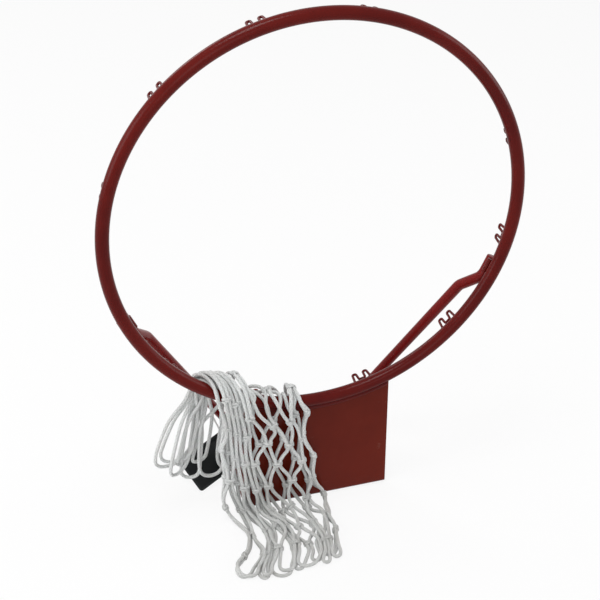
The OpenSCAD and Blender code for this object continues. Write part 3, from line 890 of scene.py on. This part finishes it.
# Steps from a knot, and the most cord widths between the two cords there
WAIST_GAPS = [(-1, 1.5), (1, 1.5)]
# How far the net lifts, and the height under the bar that the cord keeps clear of so that it can
LIFT = frame["joints"][0]["range_m"][1] / MM
LIFT_ROOM = 56.0
PASSES = 320
SMOOTH_PASSES = 2
# Pull towards the laid-out places: at first, how fast it fades and what stays; and the sinking in each pass
PULL_FIRST = 0.10
PULL_FADE = 1.4
PULL_LEAST = 0.002
SINK = 0.02
# Least distance over two links as a share of their length, and of cords from each other in cord widths
BEND_LEAST = 0.94
CORDS_APART = 1.06
KNOT_WIDEST = 1.04
# Cord widths within which cords are kept apart, how often such pairs are looked for, and how many beads
# along the cord on either side don't count
NEAR_REACH = 1.8
NEAR_EVERY = 6
NEXT_BEADS = 2
# Shares of a wrong distance that one pass mends
MENDED = {"link": 1.0, "bend": 0.5, "knot": 0.8, "waist": 0.5, "apart": 0.9}
ANY_LENGTH = 1e6
TINY = 1e-6
NOT_WRONG = 1e-9
# Room that the cord keeps from steel, and from the wire of the hooks that it passes
STEEL_GAP = 0.15
HOOK_ROOM = CORD_D / 2 + HOOK_WIRE_R + 1.0
PASSED_HOOKS = (8, 9)
PASSED_WIRE = np.concatenate([hook_wire(number) for number in PASSED_HOOKS])
# Knots: turns of cord round each crossing, pressed into it and leaning, and thinner where the net is crowded
KNOT_R = 1.5
CROWDED_KNOT_R = 0.8
CROWD_REACH = 2.0 * CORD_D
CROWD = 11
KNOT_PRESS = 0.2
KNOT_LEAN = 2.0
KNOT_SKEW = math.radians(35)
KNOT_STEPS = 22
KNOT_SIDES = 8
KNOT_OVER_FLOOR = 0.1
LIFTS = np.linspace(0.0, LIFT, 9)


def lookup(table, at):
    return np.interp(at, [row[0] for row in table], [row[1] for row in table])


def ease(share):
    share = np.clip(share, 0.0, 1.0)
    return share * share * (3 - 2 * share)


def leg_swing(v):
    """Swing of a leg at distance v from its loop's tip: 1 beside the next loop's leg, -1 beside its own's."""
    row = np.clip((v - LOOP_LEN) / ROW_PITCH, 0.0, ROWS)
    zigzag = np.clip(lookup(WAIST, row) * (1 - 2 * np.abs(np.mod(row + 1, 2) - 1)), -1.0, 1.0)
    end = np.clip((v - LAST_KNOT) / BOTTOM_LEN, 0.0, 1.0)
    return np.where(end > 0, 1 - 2 * np.sqrt(1 - end * end), zigzag)


def folded(k):
    """Column on the flattened tube, and its layer: 1 outside, -1 against the bar."""
    m = np.mod(k + FOLD_AT, COLUMNS)
    outside = m <= HALF_COLUMNS
    return np.where(outside, m, COLUMNS - m), np.where(outside, 1.0, -1.0)


def sway(k, v, shift):
    """Slow uneven wave over the net, the same at a column's both ends."""
    return sum(np.sin(2 * np.pi * n * k / COLUMNS + pace * v + start + shift) for n, pace, start in SWAY)


def past_crest(v, m):
    """Distance past the crest of a point at distance v from its loop's tip."""
    s = v - LOOP_LEN - lookup(SLIP, m)
    return np.where(s > 0, s * lookup(DRAWN_OUT, m), s)


def along_bar(m, s):
    """Place along the bar of a column at distance s past the crest."""
    behind = lookup(BEHIND_BAR, m)
    crest = behind + (lookup(ON_BAR, m) - behind) * ease((s - CROSS_FROM) / (CROSS_TO - CROSS_FROM))
    close = lookup(CLOSE_SHARE, s)
    half = HALF_COLUMNS / 2
    m = m + lookup(BUNCH_DEPTH, s) * np.sin(2 * np.pi * BUNCHES * m / HALF_COLUMNS + BUNCH_START)
    share = np.where(m < half, close * m / half, close + (1 - close) * lookup(OPEN_SHARE, m))
    left = lookup(LEFT_EDGE, s)
    fall = left + (lookup(RIGHT_EDGE, s) - left) * share
    return crest + (fall - crest) * ease((s - CROSS_TO) / (FALL_FROM - CROSS_TO))


def bar_height(x):
    return RING_Z - np.sqrt(MID_R ** 2 - x ** 2)


def fold_places(v, k, way, own):
    """Places on the net folded over the bar, falling in front of it and lying on the floor."""
    column, layer = folded(k)
    hanging = ease((v - LOOP_LEN) / ROW_PITCH)
    s = past_crest(v, column) + SWAY_V * hanging * sway(k, v, 0.0)
    edge = 0.5 * np.pi * np.minimum(1.0, np.minimum(column, HALF_COLUMNS - column) / EDGE_COLUMNS)
    flank = np.where(column < HALF_COLUMNS / 2, -1.0, 1.0)
    m = column + layer * lookup(LAYER_SHIFT, s) * np.sin(np.pi * column / HALF_COLUMNS)
    loose = np.where(m < HALF_COLUMNS / 2, lookup(CLOSE_SHARE, s), 1.0)
    x = along_bar(m, s) + SWAY_X * hanging * loose * sway(k, v, SWAY_X_START)
    bar_z = bar_height(x)
    stretch = MID_R / (RING_Z - bar_z)
    a = np.clip(s / FOLD_RHO, -np.pi / 2, np.pi / 2)
    past = np.maximum(0.0, np.abs(s) - QUARTER)
    fall_len = bar_z - FLOOR_LIE - FLOOR_RHO
    on_floor = np.where(s > 0, past - fall_len, -1.0)
    b = np.clip(on_floor / FLOOR_RHO, 0.0, np.pi / 2)
    run = np.maximum(0.0, on_floor - FLOOR_QUARTER)
    y = -FOLD_RHO * np.sin(a) - FLOOR_RHO * (1 - np.cos(b)) - run
    hang = np.minimum(past, np.where(s > 0, fall_len, past))
    z = bar_z + FOLD_RHO * np.cos(a) * stretch - hang - FLOOR_RHO * np.sin(b)
    normal_y = np.where(on_floor > 0, -np.cos(b), -np.sin(a))
    normal_z = np.where(on_floor > 0, np.sin(b), np.cos(a))
    pile = np.where(layer > 0, HEAP_SHARE["outside"], HEAP_SHARE["inside"])
    pile = pile + HEAP_LOOSE * np.sin(2 * np.pi * HEAP_WAVES * k / COLUMNS + HEAP_START)
    heap = lookup(HEAP, m) * pile
    heap = heap * np.cos(0.5 * np.pi * np.clip(s / HEAP_REACH, -1.0, 1.0)) ** 2
    pair = -way * 0.5 * CORD_D * (1 - 2 * own) * leg_swing(v) * np.clip((LEG_LEN - v) / BOTTOM_LEN, 0.0, 1.0)
    rise = layer * np.sin(edge) * LAYER_OFF - flank * np.cos(edge) * pair + heap
    x = x + flank * np.cos(edge) * LAYER_OFF + layer * np.sin(edge) * pair
    return np.stack([x, y + normal_y * rise, z + normal_z * rise], axis=1)


def loop_places(v, loop, way):
    """Places of a loop's leg hanging free behind the bar, and how free it is of the bar there."""
    lean, depth, width, turn, lift = LOOPS[loop]
    column, layer = folded(loop + 0.5)
    length = LOOP_LEN + lookup(SLIP, column)
    below = np.maximum(0.0, length - v - QUARTER)
    drop = below / (length - QUARTER)
    tip = LOOP_ROUND * width
    neck = np.cos(0.5 * np.pi * np.clip((v - tip) / (LOOP_LEN - tip), 0.0, 1.0))
    half = np.sqrt(1 - (1 - np.minimum(v / tip, 1.0)) ** 2) * (LOOP_NECK + (1 - LOOP_NECK) * neck)
    out = way * 0.5 * width * half
    top = lookup(BEHIND_BAR, column)
    x = top + lean * drop ** LEAN_CURVE + out * math.cos(math.radians(turn))
    y = FOLD_RHO + layer * LAYER_OFF + depth * drop + out * math.sin(math.radians(turn))
    z = bar_height(top) - below * (1 - lift * drop)
    return np.stack([x, y, z], axis=1), ease(drop / LOOP_FREE)


def layout(v, loop, way):
    """Places of a loop's leg; way is 1 for its right leg, -1 for its left."""
    beside_hook = abs(folded(loop + 0.5)[0] - HOOK_COLUMN) < 1
    own = beside_hook * ease((LOOP_LEN - v) / OWN_REACH)
    k = loop + 0.5 + way * np.where(v < LOOP_LEN, 0.5 * (1 - OWN_SHARE * own), 0.25 * (1 + leg_swing(v)))
    on_bar = fold_places(v, k, way, own)
    free, share = loop_places(v, loop, way)
    return on_bar + (free - on_bar) * share[:, None]


def lay_net():
    """Rest places of the closed cord, its link lengths, and the pairs of beads held in knots."""
    marks = [(0, 0.0), (LOOP_STEPS, LOOP_LEN), (LEG_STEPS - BOTTOM_STEPS, LAST_KNOT), (LEG_STEPS, LEG_LEN)]
    v = lookup(marks, np.arange(LEG_STEPS + 1))
    places = []
    first = {}
    for i in range(COLUMNS):
        ahead = (i + 1) % COLUMNS
        first[("right", i)] = len(places) * LEG_STEPS
        places.append(layout(v, i, 1.0)[:-1])
        first[("left", ahead)] = len(places) * LEG_STEPS
        places.append(layout(v, ahead, -1.0)[:0:-1])
    places = np.concatenate(places)
    laid = np.linalg.norm(np.roll(places, -1, 0) - places, axis=1)
    lengths = np.maximum(LINK_LEAST, LINK_DRAWN * laid)
    knots = []
    for i in range(COLUMNS):
        for row in range(ROWS + 1):
            at = LOOP_STEPS + row * ROW_STEPS
            beside = (i + 1 - row % 2) % COLUMNS
            knots.append((first[("right", i)] + at, first[("left", beside)] + LEG_STEPS - at))
    return places, lengths, np.array(knots)


def near_pairs(places, reach):
    """Pairs of beads closer than reach that aren't next to each other on the cord."""
    square = (places ** 2).sum(1)
    gap = square[:, None] + square[None] - 2 * places @ places.T
    a, b = np.nonzero(np.triu(gap < reach * reach, NEXT_BEADS + 1))
    keep = (b - a) < len(places) - NEXT_BEADS
    return a[keep], b[keep]


def push(places, a, b, least, most, share):
    """Moves pairs of beads so that each pair's distance lies between least and most."""
    line = places[b] - places[a]
    far = np.linalg.norm(line, axis=1)
    wrong = np.clip(far, least, most) - far
    shift = line * (0.5 * share * wrong / np.maximum(far, TINY))[:, None]
    moved = np.zeros_like(places)
    count = np.zeros(len(places))
    is_wrong = np.abs(wrong) > NOT_WRONG
    for end, way in ((a, -1.0), (b, 1.0)):
        np.add.at(moved, end, way * shift)
        np.add.at(count, end, is_wrong)
    places += moved / np.maximum(1.0, count ** 0.5)[:, None]


def front_and_room(places, knots):
    """Which beads lie in front of the bar, and how far each keeps from steel, knots further than cord."""
    room = np.full(len(places), CORD_D / 2 + STEEL_GAP)
    for beside in (-1, 0, 1):
        room[(knots + beside) % len(places)] = CORD_D / 2 + (1 + KNOT_PRESS) * KNOT_R + STEEL_GAP
    return places[:, 1] < 0, room


def clear_bar(places, in_front, room):
    """Keeps the cord and its knots out of the bar, the plate and the floor."""
    out = np.hypot(places[:, 0], places[:, 2] - RING_Z)
    away = out - MID_R
    far = np.hypot(away, places[:, 1])
    inside = far < BAR_R + room
    grow = (BAR_R + room) / np.maximum(far, TINY)
    scale = (MID_R + away * grow) / np.maximum(out, TINY)
    places[inside, 0] *= scale[inside]
    places[inside, 2] = RING_Z + (places[inside, 2] - RING_Z) * scale[inside]
    places[inside, 1] *= grow[inside]
    bar_z = RING_Z - np.sqrt(np.maximum(MID_R ** 2 - places[:, 0] ** 2, 1.0))
    below = places[:, 2] < bar_z
    under_bar = below & (places[:, 2] > bar_z - LIFT_ROOM)
    at_plate = below & (np.abs(places[:, 0]) < PLATE_HALF_W + room)
    wall = np.where(under_bar, BAR_R + room, np.where(at_plate, PLATE_T / 2 + room, 0.0))
    front = (wall > 0) & in_front
    behind = (wall > 0) & ~in_front
    places[front, 1] = np.minimum(places[front, 1], -wall[front])
    places[behind, 1] = np.maximum(places[behind, 1], wall[behind])
    over_flange = at_plate & ~in_front
    places[over_flange, 2] = np.maximum(places[over_flange, 2], PLATE_T + room[over_flange])
    places[:, 2] = np.maximum(places[:, 2], CORD_D / 2)


def clear_hooks(places):
    """Keeps the cord out of the hooks that it passes, at rest and at every lift."""
    near = np.nonzero((places[:, 1] > 0) & (places[:, 2] < PASSED_WIRE[:, 2].max() + HOOK_ROOM))[0]
    gap = places[near, None] - PASSED_WIRE[None]
    gap[..., 2] = np.maximum(gap[..., 2], 0.0) + np.minimum(gap[..., 2] + LIFT, 0.0)
    far = np.linalg.norm(gap, axis=2)
    closest = far.argmin(1)
    row = np.arange(len(near))
    least = np.maximum(far[row, closest], TINY)
    places[near] += gap[row, closest] * (np.maximum(0.0, HOOK_ROOM - least) / least)[:, None]


def work_net(passes):
    """Works the laid-out cord to its lengths, with every crossing held and nothing inside anything else."""
    rest, lengths, knots = lay_net()
    in_front, room = front_and_room(rest, knots)
    places = rest.copy()
    bead = np.arange(len(places))
    after = (bead + 1) % len(places)
    third = (bead + 2) % len(places)
    bend_floor = BEND_LEAST * (lengths + lengths[after])
    for turn in range(passes):
        pull = PULL_FIRST * max(0.0, 1 - PULL_FADE * turn / passes) + PULL_LEAST
        places += pull * (rest - places)
        places[:, 2] -= SINK
        for parity in (0, 1):
            chosen = bead[parity::2]
            push(places, chosen, after[chosen], lengths[chosen], lengths[chosen], MENDED["link"])
        push(places, bead, third, bend_floor, ANY_LENGTH, MENDED["bend"])
        push(places, knots[:, 0], knots[:, 1], CORD_D, KNOT_WIDEST * CORD_D, MENDED["knot"])
        for beside, most in WAIST_GAPS:
            push(places, knots[:, 0] + beside, knots[:, 1] - beside, CORD_D, most * CORD_D, MENDED["waist"])
        if turn % NEAR_EVERY == 0:
            pairs = near_pairs(places, NEAR_REACH * CORD_D)
        push(places, pairs[0], pairs[1], CORDS_APART * CORD_D, ANY_LENGTH, MENDED["apart"])
        clear_hooks(places)
        clear_bar(places, in_front, room)
    for _ in range(SMOOTH_PASSES):
        places = 0.5 * places + 0.25 * (np.roll(places, 1, 0) + np.roll(places, -1, 0))
        clear_hooks(places)
    return places, knots


def make_net(places):
    line = smooth_line(places, LINK_POINTS, closed=True)
    line[:, 2] = np.maximum(line[:, 2], CORD_D / 2)
    points, faces, uv = tube(line + (0.0, HOOP_Y, 0.0), CORD_D / 2, CORD_SIDES, closed=True)
    net = make_piece("net", points, faces, NET_FINISH, uv)
    finish_piece(net, "net", "net_cord", "net_top_loops", "net_crest", "net_front_fall", "net_floor_tail")


def steel_gap(points):
    """Least distance from points to the surfaces of the bar and the plate."""
    bar = np.hypot(np.hypot(points[:, 0], points[:, 2] - RING_Z) - MID_R, points[:, 1]) - BAR_R
    at_plate = (np.abs(points[:, 0]) < PLATE_HALF_W + CORD_D) & (points[:, 2] < bar_height(points[:, 0]))
    return np.where(at_plate, np.minimum(bar, np.abs(points[:, 1]) - PLATE_T / 2), bar).min()


def knot_turns(places, a, b):
    """Two leaning turns round the crossing of beads a and b, and the radius of their cord."""
    phi = 2 * np.pi * np.arange(KNOT_STEPS) / KNOT_STEPS
    middle = (places[a] + places[b]) / 2
    run = unit(places[(a + 1) % len(places)] - places[a - 1] + places[b - 1] - places[(b + 1) % len(places)])
    across = places[b] - places[a]
    across = unit(across - run * across.dot(run))
    over = np.cross(run, across)
    crowd = (np.linalg.norm(places - middle, axis=1) < CROWD_REACH).sum()
    knot_r = KNOT_R if crowd < CROWD else CROWDED_KNOT_R
    wide = CORD_D + KNOT_PRESS * knot_r
    deep = CORD_D / 2 + KNOT_PRESS * knot_r
    round_both = middle + np.outer(np.cos(phi), across) * wide + np.outer(np.sin(phi), over) * deep
    leaning = np.outer(np.cos(phi + KNOT_SKEW), run) * KNOT_LEAN
    return (round_both - leaning, round_both + leaning), knot_r


def make_knots(places, knots):
    """Turns of cord round each crossing, except where they would meet steel as the net lifts."""
    points = []
    faces = []
    uv = []
    for a, b in knots:
        turns, knot_r = knot_turns(places, a, b)
        if min(steel_gap(turn + (0.0, 0.0, lift)) for turn in turns for lift in LIFTS) < knot_r:
            continue
        for turn in turns:
            ring, quads, ring_uv = tube(turn, knot_r, KNOT_SIDES, closed=True)
            first = len(points) * KNOT_STEPS * KNOT_SIDES
            points.append(ring)
            faces += [[corner + first for corner in quad] for quad in quads]
            uv += ring_uv
    points = np.concatenate(points)
    points[:, 2] = np.maximum(points[:, 2], KNOT_OVER_FLOOR)
    knotted = make_piece("net_knots", points + (0.0, HOOP_Y, 0.0), faces, NET_FINISH, uv)
    finish_piece(knotted, "net", "net_cord")


net_places, net_knots = work_net(PASSES)
make_net(net_places)
make_knots(net_places, net_knots)


# Tag and its tie, hung on the left stay
TAG_LEN = 65.0
TAG_W = 46.0
TAG_T = 1.6
TAG_CORNER_R = 4.0
TAG_TURN = math.radians(-11)
TAG_LEAN = math.radians(45)
TAG_ROLL = math.radians(33)
EYELET_D = 4.0
EYELET_INSET = 6.0
EYELET_SIDES = 28
CORNER_STEPS = 8
TAG_ROUND = 0.25
TAG_ROUND_STEPS = 2
TAG_PLACE = (Matrix.Rotation(TAG_TURN, 3, "Z") @ Matrix.Rotation(TAG_LEAN, 3, "X")
             @ Matrix.Rotation(TAG_ROLL, 3, "Z"))
tag_low, tag_high = box_mm("hang_tag")
TAG_CENTRE = (tag_low + tag_high) / 2
TAG_AXES = np.array(TAG_PLACE)
EYELET_SPOT = (TAG_LEN / 2 - EYELET_INSET, TAG_W / 2 - EYELET_INSET)
EYELET = TAG_CENTRE + TAG_AXES @ np.array([*EYELET_SPOT, 0.0])


def make_tag():
    outline = []
    for corner, (sx, sy) in enumerate(((1, 1), (-1, 1), (-1, -1), (1, -1))):
        for a in np.linspace(0, math.pi / 2, CORNER_STEPS + 1) + corner * math.pi / 2:
            outline.append((sx * (TAG_LEN / 2 - TAG_CORNER_R) + TAG_CORNER_R * math.cos(a),
                            sy * (TAG_W / 2 - TAG_CORNER_R) + TAG_CORNER_R * math.sin(a)))
    count = len(outline)
    points = [(x, y, z) for z in (-TAG_T / 2, TAG_T / 2) for x, y in outline]
    faces = [tuple(range(count - 1, -1, -1)), tuple(range(count, 2 * count))]
    faces += [(i, (i + 1) % count, count + (i + 1) % count, count + i) for i in range(count)]
    uv = [(points[i][0] / TAG_LEN + 0.5, points[i][1] / TAG_W + 0.5) for face in faces for i in face]
    tag = make_piece("tag_card", points, faces, CARD, uv)
    depth = (-2 * TAG_T, 2 * TAG_T)
    tag = drill_and_round(tag, [EYELET_SPOT], depth, EYELET_D, EYELET_SIDES, TAG_ROUND, TAG_ROUND_STEPS)
    tag.data.transform(Matrix.Translation(TAG_CENTRE * MM) @ TAG_PLACE.to_4x4())
    finish_piece(tag, "tag", "tag_card", "hang_tag")


make_tag()


TIE_D = 2.0
TIE_SIDES = 10
TIE_HEIGHT = 79.0
TIE_CLEAR = 0.4
# The loop round the stay: its open half angle on the tag's side, its climb, and its points
TIE_OPEN = math.radians(35)
TIE_CLIMB = 1.3 * TIE_D
TIE_LOOP_POINTS = 25
TIE_POINTS = 6
# Distances from the eyelet towards the tag's corner: where the cord comes in and ends, bends, meets the card
TIE_FAR = 5.0
TIE_BEND = 4.0
TIE_LIP = 0.5


def make_tie():
    foot = mirrored(STAY_POINTS[0], -1.0)
    crank = mirrored(STAY_POINTS[1], -1.0)
    run = unit(crank - foot)
    hold = foot + (crank - foot) * (TIE_HEIGHT - foot[2]) / (crank[2] - foot[2])
    down = EYELET - hold
    out = unit(down - run * down.dot(run))
    side = np.cross(run, out)
    loop_r = STAY_R + TIE_CLEAR + TIE_D / 2
    path = []
    for a in np.linspace(TIE_OPEN, 2 * math.pi - TIE_OPEN, TIE_LOOP_POINTS):
        climb = TIE_CLIMB * (a / math.pi - 1)
        path.append(hold + loop_r * (out * math.cos(a) + side * math.sin(a)) + run * climb)
    across = TAG_AXES[:, 2]
    far = TAG_AXES @ np.array([1.0, 1.0, 0.0]) / math.sqrt(2)
    front = EYELET + across * (TAG_T / 2 + TIE_D)
    back = EYELET - across * (TAG_T / 2 + TIE_D)
    path += [(path[-1] + front + far * TIE_FAR) / 2, front + far * TIE_BEND, front + far * TIE_LIP, EYELET,
             back + far * TIE_LIP, back + far * TIE_FAR]
    line = smooth_line(path, TIE_POINTS)
    points, faces, uv = tube(line, TIE_D / 2, TIE_SIDES)
    tie = make_piece("tie_cord", points, faces, TIE_FINISH, uv)
    finish_piece(tie, "tag", "tie_cord", "tag_tie")
    line[0] * MM
    line * MM


make_tie()


# Stage: pale floor, white surround and soft studio lamps
FLOOR_HALF = 6.0
FLOOR_PALE = (0.86, 0.86, 0.86, 1.0)
FLOOR_WHITE_SHARE = 0.86
WHITE = (1.0, 1.0, 1.0, 1.0)
ROOM_LIGHT = 0.45
# Soft lamps: place, what it is aimed at, width and power
LAMPS = {
    "key_lamp": ((-0.4, -0.4, 2.4), (0.0, 0.0, 0.25), 0.8, 19.0),
    "front_lamp": ((-0.6, -2.4, 1.2), (0.0, 0.0, 0.25), 1.2, 7.0),
    "left_lamp": ((-2.0, -0.3, 0.9), (0.0, 0.0, 0.3), 1.2, 15.0),
    "right_lamp": ((2.0, -0.3, 0.9), (0.0, 0.0, 0.3), 1.2, 13.0),
    "back_lamp": ((-0.9, 1.9, 1.7), (0.0, 0.0, 0.4), 0.9, 12.0),
}


def seen_directly(nodes):
    """1 for rays from the camera and for what gloss and glass show, else 0."""
    path = nodes.node("ShaderNodeLightPath")
    camera = Value(nodes, path.outputs["Is Camera Ray"])
    gloss = Value(nodes, path.outputs["Is Glossy Ray"])
    glass = Value(nodes, path.outputs["Is Transmission Ray"])
    return camera.at_least(gloss).at_least(glass)


def make_floor():
    finish = Finish("pale_floor")
    diffuse = finish.value("ShaderNodeBsdfDiffuse", {}, {"Color": FLOOR_PALE})
    glow = finish.value("ShaderNodeEmission", {}, {"Color": WHITE, "Strength": 1.0})
    share = seen_directly(finish) * FLOOR_WHITE_SHARE
    mixed = finish.value("ShaderNodeMixShader", {}, {0: share, 1: diffuse, 2: glow})
    finish.node("ShaderNodeOutputMaterial", {}, {"Surface": mixed})
    size = FLOOR_HALF / MM
    corners = [(-size, -size, 0.0), (size, -size, 0.0), (size, size, 0.0), (-size, size, 0.0)]
    make_piece("floor", corners, [(0, 1, 2, 3)], finish.material)


def make_surround():
    world = bpy.data.worlds.new("surround")
    bpy.context.scene.world = world
    world.use_nodes = True
    surround = Nodes(world.node_tree)
    strength = seen_directly(surround) * (1.0 - ROOM_LIGHT) + ROOM_LIGHT
    glow = surround.value("ShaderNodeBackground", {}, {"Color": WHITE, "Strength": strength})
    surround.node("ShaderNodeOutputWorld", {}, {"Surface": glow})


def make_lamp(name, place, aim, width, power):
    light = bpy.data.lights.new(name, "AREA")
    light.size = width
    light.energy = power
    lamp = bpy.data.objects.new(name, light)
    lamp.location = place
    lamp.rotation_euler = (Vector(aim) - Vector(place)).to_track_quat("-Z", "Y").to_euler()
    bpy.context.scene.collection.objects.link(lamp)


make_floor()
make_surround()
for lamp_name, lamp_values in LAMPS.items():
    make_lamp(lamp_name, *lamp_values)
bpy.context.scene.view_settings.view_transform = "Standard"
